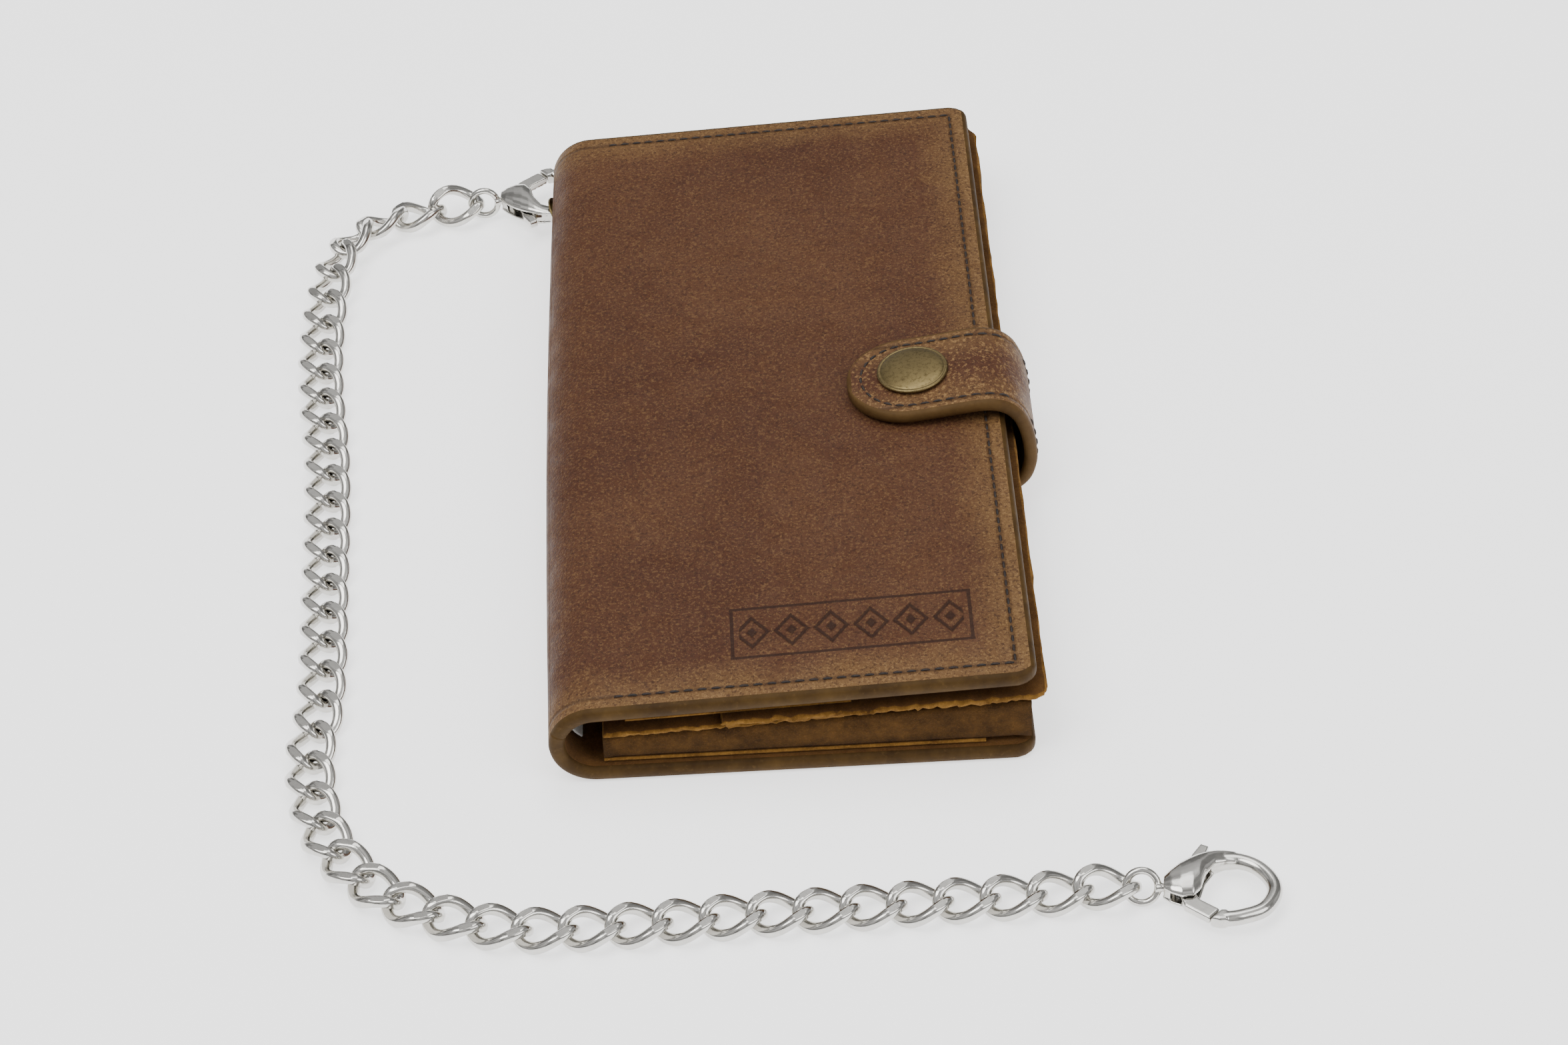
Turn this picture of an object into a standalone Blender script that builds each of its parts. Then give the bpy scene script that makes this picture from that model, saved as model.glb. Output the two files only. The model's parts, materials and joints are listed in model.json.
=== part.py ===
"""Chain wallet: a long leather wallet with a snap strap, and a curb chain between two lobster clasps.

Every length is in millimetres, and MM turns it into metres where a mesh is made.
The wallet lies on the floor, z = 0: +X is the snap side, +Y the far end and +Z up.
"""

import math

import bmesh
import bpy
from mathutils import Matrix, Vector

MM = 0.001
GAP = 0.3  # between pieces that touch

# Leather shell
WALLET_LENGTH = 192.0
SNAP_EDGE = 47.5  # x of the covers' free edge
LEATHER = 3.2
SPINE_X = -38.2  # centre line of the spine's half circle
SPINE_RADIUS = 9.3
COVER_SLOPE = math.radians(2.69)
COVER_LENGTH = 86.2
COVER_CORNER = 4.5
# The spine unrolls about four lines on its outer face, at these angles round its centre.
SPINE_HINGES = (170.0, 144.3, 118.5, 92.69)

# Inner layers, by their depth under the front cover's outer face
CARD_POCKET_DEPTHS = (3.5, 4.4, 5.3)
CARD_POCKET_ENDS = (82.0, 66.0, 50.0)
CARD_THICKNESS = 0.6
FLAP_DEPTH = 6.2
FLAP_THICKNESS = 1.1
PANEL_DEPTH = 7.6
PANEL_THICKNESS = 1.0
GUSSET_DEPTH = 8.9
GUSSET_WALL = 1.2
GUSSET_BOX = (-37.0, 46.5, -94.0, 94.0)  # x from, x to, y from, y to
LINING_LOW = 3.5
LINING_THICKNESS = 0.8
INSERT_RADIUS = 5.5
INSERT_THICKNESS = 0.4

# Snap strap: its centre line across the wallet, as (x, z), from the back cover round to its tip
STRAP_LINE = (
    (47.8, 4.1), (49.8, 4.6), (51.7, 6.6), (52.7, 9.5), (52.9, 12.5), (52.4, 16.5), (51.4, 20.2),
    (49.6, 23.5), (46.6, 25.6), (42.5, 26.0), (37.5, 25.3), (29.4, 24.1), (20.0, 23.3), (14.2, 22.9),
)
STRAP_THICKNESS = 2.8
STRAP_Y = -5.5
STRAP_WIDTH = 26.0
STRAP_TIP = 15.3
STRAP_TONGUE = 38.0  # x where the sewn tongue starts
STRAP_HINGE_1 = 1.0  # along the line
STRAP_HINGE_2 = 21.5
SNAP_X = 29.4
SNAP_Y = -5.0

# Eyelet in the spine wall, that the first clasp hooks through
EYELET_ANGLE = 206.0
EYELET_Y = 85.2
EYELET_BORE = 2.75
EYELET_TUBE = 3.1
EYELET_FLANGE = 4.2

# Clasps, by the centre of the swivel eye, with x towards the hook's tip
WALLET_CLASP_EYE = (-63.9, 92.3, 4.3)
WALLET_CLASP_PITCH = 5.0  # degrees, tip up
FREE_CLASP_EYE = (63.64, -134.98, 3.4)
FREE_CLASP_TURN = -6.74
EYE_ROLLS = {"wallet_end": 78.0, "free_end": 50.0}

# Chain: oval links, each twisted along its length
LINKS = 44
LINK_HALF_LENGTH = 5.5
LINK_HALF_WIDTH = 4.0
LINK_WIRE = 0.95
LINK_TWIST = math.radians(45.0)
LINK_POINTS = 12
TIGHT_PITCH = 9.4  # between the two joined links of a pair
LINK_ROLLS = {1: -30.0, 2: 12.0, 3: 26.0, 4: 30.0, 5: 26.0, 6: 16.0, 7: 8.0}
REST_GAP = 0.12  # under a lying link
LINK_TO_EYE = 6.5  # from the eye's centre to the middle of the link in it
CHAIN_ROUTE = (
    (-57.0, 92.6), (-64.0, 92.3), (-71.0, 91.8), (-77.5, 91.0), (-84.5, 88.9), (-90.5, 85.0),
    (-94.8, 79.5), (-97.3, 72.0), (-98.6, 62.0), (-99.2, 50.0), (-99.0, 36.0), (-98.0, 22.0),
    (-96.4, 8.0), (-95.4, -8.0), (-94.8, -25.0), (-94.3, -42.0), (-93.8, -58.0), (-93.8, -74.0),
    (-94.9, -86.0), (-94.0, -98.0), (-91.9, -106.5), (-89.0, -113.6), (-84.4, -120.3),
    (-79.0, -126.0), (-72.0, -130.5), (-64.0, -134.1), (-55.4, -136.4), (-47.5, -137.4),
    (-29.0, -137.2), (-10.5, -136.3), (7.3, -135.9), (25.4, -135.4), (42.6, -135.0),
    (52.5, -134.4), (63.0, -135.0), (70.0, -135.8),
)

LOOKS = {  # colour, roughness, metallic
    "waxed_leather": ((0.23, 0.12, 0.055), 0.5, 0.0),
    "suede": ((0.30, 0.17, 0.07), 0.95, 0.0),
    "dark_suede": ((0.10, 0.055, 0.03), 0.95, 0.0),
    "card_leather": ((0.16, 0.09, 0.045), 0.6, 0.0),
    "white_sheet": ((0.75, 0.75, 0.73), 0.7, 0.0),
    "nickel": ((0.78, 0.77, 0.75), 0.2, 1.0),
    "spring_steel": ((0.5, 0.5, 0.5), 0.35, 1.0),
    "antique_brass": ((0.38, 0.27, 0.13), 0.35, 1.0),
}


def clear_scene():
    for old in list(bpy.data.objects):
        bpy.data.objects.remove(old, do_unlink=True)


def new_collection(name):
    collection = bpy.data.collections.new(name)
    bpy.context.scene.collection.children.link(collection)
    return collection


def make_look(name):
    colour, roughness, metallic = LOOKS[name]
    look = bpy.data.materials.new(name)
    look.use_nodes = True
    shader = look.node_tree.nodes["Principled BSDF"]
    shader.inputs["Base Color"].default_value = (*colour, 1.0)
    shader.inputs["Roughness"].default_value = roughness
    shader.inputs["Metallic"].default_value = metallic
    look.diffuse_color = (*colour, 1.0)
    return look


def piece(name, bm, look, parent=None, smooth=False):
    """Object of one sub-part, from a bmesh in world metres."""
    bmesh.ops.recalc_face_normals(bm, faces=bm.faces)
    for face in bm.faces:
        face.smooth = smooth
    mesh = bpy.data.meshes.new(name)
    bm.to_mesh(mesh)
    bm.free()
    mesh.materials.append(looks[look])
    thing = bpy.data.objects.new(name, mesh)
    parts.objects.link(thing)
    attach(thing, parent)
    return thing


def attach(thing, parent):
    if parent is not None:
        thing.parent = parent
        thing.matrix_parent_inverse = parent.matrix_world.inverted()


def pivot(name, place, parent=None):
    """Empty on a joint's axis; place is in millimetres."""
    empty = bpy.data.objects.new(name, None)
    empty.empty_display_size = 5 * MM
    parts.objects.link(empty)
    attach(empty, parent)
    empty.matrix_world = Matrix.Translation(Vector(place) * MM)
    bpy.context.view_layer.update()
    return empty


def boolean(thing, operation, bm):
    """Join or cut a piece with a hidden solid."""
    mesh = bpy.data.meshes.new(thing.name + "_cutter")
    bmesh.ops.recalc_face_normals(bm, faces=bm.faces)
    bm.to_mesh(mesh)
    bm.free()
    cutter = bpy.data.objects.new(mesh.name, mesh)
    cutter.hide_render = True
    cutter.display_type = "WIRE"
    cutters.objects.link(cutter)
    change = thing.modifiers.new(operation.lower(), "BOOLEAN")
    change.operation = operation
    change.object = cutter
    change.solver = "EXACT"


def prism(outline, low, high, plane="XY"):
    """Solid of a flat outline: in XY it is thick along Z, in XZ along Y."""
    bm = bmesh.new()
    if plane == "XY":
        corners = [(u, v, low) for u, v in outline]
        rise = Vector((0.0, 0.0, high - low))
    else:
        corners = [(u, low, v) for u, v in outline]
        rise = Vector((0.0, high - low, 0.0))
    face = bm.faces.new([bm.verts.new(Vector(corner) * MM) for corner in corners])
    grown = bmesh.ops.extrude_face_region(bm, geom=[face])
    lifted = [item for item in grown["geom"] if isinstance(item, bmesh.types.BMVert)]
    bmesh.ops.translate(bm, verts=lifted, vec=rise * MM)
    return bm


def box(x_from, x_to, y_from, y_to, z_from, z_to):
    outline = ((x_from, y_from), (x_to, y_from), (x_to, y_to), (x_from, y_to))
    return prism(outline, z_from, z_to)


def cylinder(radius, low, high, frame, sides=16):
    """Cylinder along Z of a frame, from low to high."""
    bm = bmesh.new()
    bmesh.ops.create_cone(
        bm, cap_ends=True, segments=sides, radius1=radius * MM, radius2=radius * MM,
        depth=(high - low) * MM,
        matrix=frame @ Matrix.Translation((0.0, 0.0, (low + high) / 2 * MM)),
    )
    return bm


def turned(name, profile, frame, look, parent=None, closed=False, steps=24):
    """Round piece: a profile of (radius, height) turned about Z of a frame."""
    bm = bmesh.new()
    verts = [bm.verts.new((radius * MM, 0.0, height * MM)) for radius, height in profile]
    for start, end in zip(verts, verts[1:]):
        bm.edges.new((start, end))
    if closed:
        bm.edges.new((verts[-1], verts[0]))
    mesh = bpy.data.meshes.new(name)
    bm.to_mesh(mesh)
    bm.free()
    mesh.materials.append(looks[look])
    thing = bpy.data.objects.new(name, mesh)
    parts.objects.link(thing)
    attach(thing, parent)
    thing.matrix_world = frame
    screw = thing.modifiers.new("turn", "SCREW")
    screw.steps = steps
    screw.render_steps = steps
    screw.use_merge_vertices = True
    screw.merge_threshold = 0.00001
    screw.use_normal_flip = True
    return thing


def wire(places, radius, cyclic=False, radii=None):
    """Round wire through places, as a mesh."""
    curve = bpy.data.curves.new("wire", "CURVE")
    curve.dimensions = "3D"
    curve.bevel_depth = radius * MM
    curve.bevel_resolution = 2
    curve.use_fill_caps = not cyclic
    spline = curve.splines.new("POLY")
    spline.points.add(len(places) - 1)
    for index, place in enumerate(places):
        spline.points[index].co = (*(Vector(place) * MM), 1.0)
        if radii:
            spline.points[index].radius = radii[index]
    spline.use_cyclic_u = cyclic
    carrier = bpy.data.objects.new("wire", curve)
    mesh = bpy.data.meshes.new_from_object(carrier)
    bm = bmesh.new()
    bm.from_mesh(mesh)
    bmesh.ops.remove_doubles(bm, verts=bm.verts, dist=0.00001)
    bpy.data.objects.remove(carrier)
    return bm


def smooth_line(places, steps):
    """Points on one smooth curve through all the places."""
    ends = [2 * Vector(places[0]) - Vector(places[1]), 2 * Vector(places[-1]) - Vector(places[-2])]
    knots = [ends[0], *[Vector(place) for place in places], ends[1]]
    line = []
    for a, b, c, d in zip(knots, knots[1:], knots[2:], knots[3:]):
        for step in range(steps):
            t = step / steps
            line.append(
                0.5 * (2 * b + (c - a) * t + (2 * a - 5 * b + 4 * c - d) * t**2
                       + (3 * b - a - 3 * c + d) * t**3)
            )
    line.append(knots[-2])
    return line


def along(line, distance):
    """Point and direction at a distance along a line of points."""
    for start, end in zip(line, line[1:]):
        length = (end - start).length
        if distance <= length:
            return start.lerp(end, distance / length), (end - start).normalized()
        distance -= length
    return line[-1], (line[-1] - line[-2]).normalized()


def arc(radius, angle_from, angle_to, steps):
    """Points round the spine's centre, as (x, z)."""
    turn = [math.radians(angle_from + (angle_to - angle_from) * k / steps) for k in range(steps + 1)]
    return [(SPINE_X + radius * math.cos(a), SPINE_RADIUS + radius * math.sin(a)) for a in turn]


def rounded(corners, steps=4):
    """Outline through corners of (x, y, radius)."""
    outline = []
    for before, here, after in zip(corners[-1:] + corners[:-1], corners, corners[1:] + corners[:1]):
        corner = Vector(here[:2])
        back = (Vector(before[:2]) - corner).normalized()
        on = (Vector(after[:2]) - corner).normalized()
        for step in range(steps + 1 if here[2] else 1):
            turn = math.pi / 2 * step / steps
            # Right-angled corners: the arc's centre is one radius in from both sides.
            outline.append(corner + here[2] * (back * (1 - math.sin(turn)) + on * (1 - math.cos(turn))))
    return outline


def cover_frame():
    """Frame of the front cover: x along it from the spine, z out of its outer face."""
    start = arc(SPINE_RADIUS, SPINE_HINGES[-1], SPINE_HINGES[-1], 1)[0]
    return Matrix.Translation(Vector((start[0], 0.0, start[1])) * MM) @ Matrix.Rotation(
        -COVER_SLOPE, 4, "Y"
    )


def cover_slab(outline, depth, thickness):
    bm = prism(outline, -depth - thickness, -depth)
    bm.transform(cover_frame())
    return bm


def ceiling(x, depth):
    """Height of the plane that lies at a depth under the cover's outer face."""
    return SPINE_RADIUS + (SPINE_RADIUS - depth) / math.cos(COVER_SLOPE) + (x - SPINE_X) * math.tan(
        COVER_SLOPE
    )


def make_back():
    half = WALLET_LENGTH / 2
    start = SPINE_X + GAP / 2
    outline = rounded([
        (start, -half, 0.0), (SNAP_EDGE, -half, COVER_CORNER),
        (SNAP_EDGE, half, COVER_CORNER), (start, half, 0.0),
    ])
    piece("back_cover", prism(outline, 0.0, LEATHER), "waxed_leather")
    lining = (
        (GUSSET_BOX[0], GUSSET_BOX[2]), (GUSSET_BOX[1], GUSSET_BOX[2]),
        (GUSSET_BOX[1], STRAP_Y - STRAP_WIDTH / 2 - GAP),
        (STRAP_TONGUE - GAP, STRAP_Y - STRAP_WIDTH / 2 - GAP),
        (STRAP_TONGUE - GAP, STRAP_Y + STRAP_WIDTH / 2 + GAP),
        (GUSSET_BOX[1], STRAP_Y + STRAP_WIDTH / 2 + GAP),
        (GUSSET_BOX[1], GUSSET_BOX[3]), (GUSSET_BOX[0], GUSSET_BOX[3]),
    )
    piece("back_lining", prism(lining, LINING_LOW, LINING_LOW + LINING_THICKNESS), "dark_suede")


def spine_piece(name, angle_from, angle_to, steps, parent):
    """Stretch of the spine between two hinge lines, with half a gap at each end."""
    half_gap = math.degrees(GAP / 2 / SPINE_RADIUS)
    span = (angle_from - half_gap, angle_to + half_gap, steps)
    outer = arc(SPINE_RADIUS, *span)
    inner = arc(SPINE_RADIUS - LEATHER, *span)
    half = WALLET_LENGTH / 2
    return piece(name, prism(outer + inner[::-1], -half, half, "XZ"), "waxed_leather", parent)


def make_spine():
    base = spine_piece("spine_base", 270.0, SPINE_HINGES[0], 8, None)
    boolean(base, "DIFFERENCE", cylinder(EYELET_TUBE + 0.15, 2.0, 12.0, eyelet_frame()))
    parent = None
    pivots = []
    for number, angle in enumerate(SPINE_HINGES, start=1):
        x, z = arc(SPINE_RADIUS, angle, angle, 1)[0]
        name = f"spine_fold_{number}_pivot" if number < 4 else "cover_pivot"
        parent = pivot(name, (x, 0.0, z), parent)
        pivots.append(parent)
    for number in (1, 2, 3):
        spine_piece(f"spine_fold_{number}", SPINE_HINGES[number - 1], SPINE_HINGES[number], 3,
                    pivots[number - 1])
    insert = (104.0, 235.0, 8)
    outline = arc(INSERT_RADIUS, *insert) + arc(INSERT_RADIUS - INSERT_THICKNESS, *insert)[::-1]
    piece("insert_sheet", prism(outline, -88.0, 70.0, "XZ"), "white_sheet")
    return pivots[-1]


def make_cover(hinge):
    half = WALLET_LENGTH / 2
    outline = rounded([
        (GAP / 2, -half, 0.0), (COVER_LENGTH, -half, COVER_CORNER),
        (COVER_LENGTH, half, COVER_CORNER), (GAP / 2, half, 0.0),
    ])
    cover = piece("front_cover", cover_slab(outline, 0.0, LEATHER), "waxed_leather", hinge)
    boolean(cover, "DIFFERENCE", cylinder(1.15, -LEATHER - 1.0, 1.0, stud_frame()))
    for number, (depth, end) in enumerate(zip(CARD_POCKET_DEPTHS, CARD_POCKET_ENDS), start=1):
        pocket = rounded([(6.0, -93.0, 0.0), (end, -93.0, 2.0), (end, 93.0, 2.0), (6.0, 93.0, 0.0)])
        piece(f"card_pocket_{number}", cover_slab(pocket, depth, CARD_THICKNESS), "card_leather", hinge)
    stud = ((0.0, -2.9), (0.95, -2.9), (0.95, 0.15), (3.0, 0.15), (3.0, 0.45), (1.3, 0.6),
            (1.45, 1.5), (1.1, 1.9), (0.0, 1.9))
    turned("snap_stud", stud, stud_frame(), "antique_brass", hinge)


def make_pouch():
    x_from, x_to, y_from, y_to = GUSSET_BOX
    low = LINING_LOW + LINING_THICKNESS + GAP
    section = ((x_from, low), (x_to, low), (x_to, ceiling(x_to, GUSSET_DEPTH)),
               (x_from, ceiling(x_from, GUSSET_DEPTH)))
    gusset = piece("pouch_gusset", prism(section, y_from, y_to, "XZ"), "dark_suede")
    wall = GUSSET_WALL
    boolean(gusset, "DIFFERENCE",
            box(x_from + wall, x_to - wall, y_from + wall, y_to - wall, 0.0, 30.0))
    panel = ((1.2, -94.5), (48.5, -94.5), (48.5, 94.0), (1.2, 94.0))
    piece("pouch_panel", cover_slab(panel, PANEL_DEPTH, PANEL_THICKNESS), "suede")
    flap = rounded([(24.5, -95.5, 0.0), (88.0, -95.5, 3.0), (88.0, 95.0, 3.0), (24.5, 95.0, 0.0)])
    piece("pouch_flap", cover_slab(flap, FLAP_DEPTH, FLAP_THICKNESS), "suede")


def strap_section(line, start, end, steps):
    """Outer and inner faces of a stretch of the strap, as (x, z)."""
    outer = []
    inner = []
    for step in range(steps + 1):
        place, way = along(line, start + (end - start) * step / steps)
        side = Vector((way.y, -way.x)) * STRAP_THICKNESS / 2
        outer.append(tuple(place + side))
        inner.append(tuple(place - side))
    return outer, inner


def strap_hinge(line, distance):
    place, way = along(line, distance)
    side = place + Vector((way.y, -way.x)) * STRAP_THICKNESS / 2
    return (side.x, STRAP_Y, side.y)


def snap_place():
    """Frame on the strap's outer face at the snap, z out of the leather."""
    line = smooth_line(STRAP_LINE, 8)
    place, way = min((along(line, k * 0.25) for k in range(100, 300)), key=lambda p: abs(p[0].x - SNAP_X))
    out = Vector((way.y, -way.x))
    surface = place + out * STRAP_THICKNESS / 2
    tilt = math.atan2(out.x, out.y)
    return Matrix.Translation(Vector((surface.x, SNAP_Y, surface.y)) * MM) @ Matrix.Rotation(tilt, 4, "Y")


def stud_frame():
    """Frame on the front cover's outer face under the snap."""
    start = arc(SPINE_RADIUS, SPINE_HINGES[-1], SPINE_HINGES[-1], 1)[0]
    run = (SNAP_X - start[0]) / math.cos(COVER_SLOPE)
    return cover_frame() @ Matrix.Translation(Vector((run, SNAP_Y, 0.0)) * MM)


def make_strap():
    line = smooth_line(STRAP_LINE, 8)
    length = sum((b - a).length for a, b in zip(line, line[1:]))
    y_from = STRAP_Y - STRAP_WIDTH / 2
    y_to = STRAP_Y + STRAP_WIDTH / 2
    outer, inner = strap_section(line, 0.0, STRAP_HINGE_1 - GAP / 2, 1)
    tongue_top = LINING_LOW + LINING_THICKNESS
    x_thick = STRAP_LINE[0][0]
    section = ([(STRAP_TONGUE, LINING_LOW), (x_thick, LINING_LOW)] + outer + inner[::-1]
               + [(x_thick, tongue_top), (STRAP_TONGUE, tongue_top)])
    piece("strap_root", prism(section, y_from, y_to, "XZ"), "waxed_leather")

    loop_hinge = pivot("strap_loop_pivot", strap_hinge(line, STRAP_HINGE_1))
    tab_hinge = pivot("strap_tab_pivot", strap_hinge(line, STRAP_HINGE_2), loop_hinge)
    outer, inner = strap_section(line, STRAP_HINGE_1 + GAP / 2, STRAP_HINGE_2 - GAP / 2, 12)
    piece("strap_loop", prism(outer + inner[::-1], y_from, y_to, "XZ"), "waxed_leather", loop_hinge)
    outer, inner = strap_section(line, STRAP_HINGE_2 + GAP / 2, length, 16)
    tab = piece("strap_tab", prism(outer + inner[::-1], y_from, y_to, "XZ"), "waxed_leather", tab_hinge)
    radius = STRAP_WIDTH / 2
    rim = rounded([(STRAP_TIP, y_from, radius - 0.01), (60.0, y_from - 1.0, 0.0),
                   (60.0, y_to + 1.0, 0.0), (STRAP_TIP, y_to, radius - 0.01)], steps=8)
    boolean(tab, "INTERSECT", prism(rim, 15.0, 35.0))
    boolean(tab, "DIFFERENCE", cylinder(3.45, -5.0, 2.0, snap_place(), sides=20))

    cap = ((0.0, 0.4), (6.9, 0.4), (7.4, 0.6), (7.5, 1.0), (7.2, 1.4), (6.8, 1.5), (6.3, 1.3),
           (4.4, 1.6), (2.2, 1.8), (0.0, 1.87))
    turned("snap_cap", cap, snap_place(), "antique_brass", tab_hinge, steps=32)
    socket = ((2.0, -2.7), (3.2, -2.7), (3.2, -0.1), (2.0, -0.1))
    turned("snap_socket", socket, snap_place(), "antique_brass", tab_hinge, closed=True)


def eyelet_frame():
    """Frame at the spine's centre, z out through the eyelet."""
    turn = math.radians(90.0 - EYELET_ANGLE)
    return Matrix.Translation(Vector((SPINE_X, EYELET_Y, SPINE_RADIUS)) * MM) @ Matrix.Rotation(turn, 4, "Y")


def make_eyelet():
    inner = SPINE_RADIUS - LEATHER - 0.1
    outer = SPINE_RADIUS + 0.1
    profile = ((EYELET_BORE, inner), (EYELET_TUBE, inner), (EYELET_TUBE, outer), (EYELET_FLANGE, outer),
               (EYELET_FLANGE, outer + 0.4), (EYELET_TUBE, outer + 0.6), (EYELET_BORE, outer + 0.4))
    turned("chain_eyelet", profile, eyelet_frame(), "antique_brass", closed=True)


# Clasp, in its own frame: x from the eye to the hook's tip, the gate on the -y side
CLASP_HALF = 2.4
CLASP_OUTLINE = (
    (4.2, -1.9), (7.0, -3.6), (9.6, -3.2), (11.1, -1.6), (11.8, 2.5), (14.0, 5.9), (13.6, 8.7),
    (9.7, 7.5), (6.4, 5.1), (4.2, 1.9),
)
CLASP_SLOT = (5.3, 12.7, -1.6, 1.05)  # x from, x to, z from, z to
GATE_PIN = (7.5, -0.5)
PIN_RADIUS = 0.7
GATE_HALF = 0.75
GATE_OUTLINE = (
    (6.15, -1.1), (6.9, -1.85), (8.6, -4.9), (12.9, -7.3), (13.9, -6.5), (10.7, -3.9), (9.5, -1.2),
    (9.9, 2.2), (11.8, 8.2), (12.5, 10.6), (11.0, 11.2), (9.3, 8.2), (7.9, 3.2), (6.9, 0.85),
    (6.15, 0.1),
)
HOOK_LINE = (
    (13.2, 7.1), (17.0, 7.6), (21.3, 6.2), (24.2, 2.7), (24.7, -1.0), (22.6, -4.9), (18.6, -6.9),
    (15.8, -7.5), (14.1, -7.9),
)
HOOK_RADIUS = 1.35
HOOK_TAPER = (1.0, 1.0, 1.0, 1.0, 1.0, 1.0, 1.0, 0.78, 0.5)
EYE_RADIUS = 3.05
EYE_WIRE = 0.8
STEM_RADIUS = 0.6


def sided(outline, side):
    """Outline of a clasp piece, turned over for a clasp whose gate is on the other side."""
    return [(x, y * side) for x, y in outline]


def make_clasp(tag, frame, side):
    pin_x, pin_y = sided([GATE_PIN], side)[0]
    pin_frame = frame @ Matrix.Translation(Vector((pin_x, pin_y, 0.0)) * MM)
    pin_place = pin_frame.translation / MM

    body_mesh = prism(sided(CLASP_OUTLINE, side), -CLASP_HALF, CLASP_HALF)
    body_mesh.transform(frame)
    body = piece(f"clasp_body_{tag}", body_mesh, "nickel")
    places = smooth_line([(x, y, 0.0) for x, y in sided(HOOK_LINE, side)], 2)
    tapers = [t for a, b in zip(HOOK_TAPER, HOOK_TAPER[1:]) for t in (a, (a + b) / 2)] + [HOOK_TAPER[-1]]
    hook = wire(places, HOOK_RADIUS, radii=tapers)
    hook.transform(frame)
    boolean(body, "UNION", hook)
    slot = box(CLASP_SLOT[0], CLASP_SLOT[1], -15.0, 15.0, CLASP_SLOT[2], CLASP_SLOT[3])
    slot.transform(frame)
    boolean(body, "DIFFERENCE", slot)
    boolean(body, "DIFFERENCE", cylinder(PIN_RADIUS + 0.15, -5.0, 5.0, pin_frame, sides=12))
    across = frame @ Matrix.Rotation(math.radians(90.0), 4, "Y")
    boolean(body, "DIFFERENCE", cylinder(STEM_RADIUS + 0.2, 2.0, CLASP_SLOT[0] + 0.3, across, sides=12))

    gate_pivot = pivot(f"clasp_gate_{tag}_pivot", pin_place)
    gate_mesh = prism(sided(GATE_OUTLINE, side), -GATE_HALF, GATE_HALF)
    gate_mesh.transform(frame)
    gate = piece(f"clasp_gate_{tag}", gate_mesh, "nickel", gate_pivot)
    boolean(gate, "DIFFERENCE", cylinder(PIN_RADIUS + 0.15, -5.0, 5.0, pin_frame, sides=12))
    piece(f"clasp_pin_{tag}", cylinder(PIN_RADIUS, -CLASP_HALF - 0.15, CLASP_HALF + 0.15, pin_frame, 12),
          "nickel")

    coil = [math.radians(20 + 300 * k / 12) for k in range(13)]
    ring = [(1.25 * math.cos(a), 1.25 * math.sin(a), -1.16) for a in coil]
    spring = wire([(2.6, -0.2, -1.16), *ring, (1.6, -2.4, -1.16)], 0.2)
    spring.transform(pin_frame @ Matrix.Scale(side, 4, (0, 1, 0)))
    piece(f"clasp_spring_{tag}", spring, "spring_steel")

    roll = math.radians(EYE_ROLLS[tag])
    eye_pivot = pivot(f"swivel_eye_{tag}_pivot", frame.translation / MM)
    turn = [2 * math.pi * k / 20 for k in range(20)]
    circle = [(EYE_RADIUS * math.cos(a), EYE_RADIUS * math.sin(a), 0.0) for a in turn]
    ring = wire(circle, EYE_WIRE, cyclic=True)
    ring.transform(frame @ Matrix.Rotation(roll, 4, "X"))
    eye = piece(f"swivel_eye_{tag}", ring, "nickel", eye_pivot, smooth=True)
    boolean(eye, "UNION", cylinder(STEM_RADIUS, 3.0, 5.9, across, sides=12))
    boolean(eye, "UNION", cylinder(STEM_RADIUS + 0.32, 5.55, 5.85, across, sides=12))


def link_places(line, number, distance):
    """Centre line of one link, lying on the floor or held up by an eye."""
    middle, way = along(line, distance)
    heading = math.atan2(way.y, way.x)
    roll = math.radians(LINK_ROLLS.get(number, 0.0))
    loop = []
    for step in range(LINK_POINTS):
        turn = 2 * math.pi * step / LINK_POINTS
        twist = roll - LINK_TWIST * math.cos(turn)
        across = LINK_HALF_WIDTH * math.sin(turn)
        loop.append(Vector((LINK_HALF_LENGTH * math.cos(turn), across * math.cos(twist),
                            across * math.sin(twist))))
    lift = REST_GAP + LINK_WIRE - min(place.z for place in loop)
    if number == 1:
        lift = WALLET_CLASP_EYE[2]
    if number == LINKS:
        lift = FREE_CLASP_EYE[2]
    frame = Matrix.Translation((middle.x, middle.y, lift)) @ Matrix.Rotation(heading, 4, "Z")
    return [frame @ place for place in loop]


def make_chain():
    line = smooth_line(CHAIN_ROUTE, 8)
    steps = [along(line, k * 0.1)[0] for k in range(4200)]
    first = min(range(400), key=lambda k: abs(steps[k].x - WALLET_CLASP_EYE[0] + LINK_TO_EYE)) * 0.1
    last = min(range(3600, 4200), key=lambda k: abs(steps[k].x - FREE_CLASP_EYE[0] + LINK_TO_EYE)) * 0.1
    pairs = LINKS // 2
    loose_pitch = (last - first - pairs * TIGHT_PITCH) / (pairs - 1)
    for pair in range(pairs):
        number = 2 * pair + 1
        distance = first + pair * (TIGHT_PITCH + loose_pitch)
        near = wire(link_places(line, number, distance), LINK_WIRE, cyclic=True)
        joined = piece(f"chain_links_{number:02d}_{number + 1:02d}", near, "nickel", smooth=True)
        far = wire(link_places(line, number + 1, distance + TIGHT_PITCH), LINK_WIRE, cyclic=True)
        boolean(joined, "UNION", far)


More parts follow.
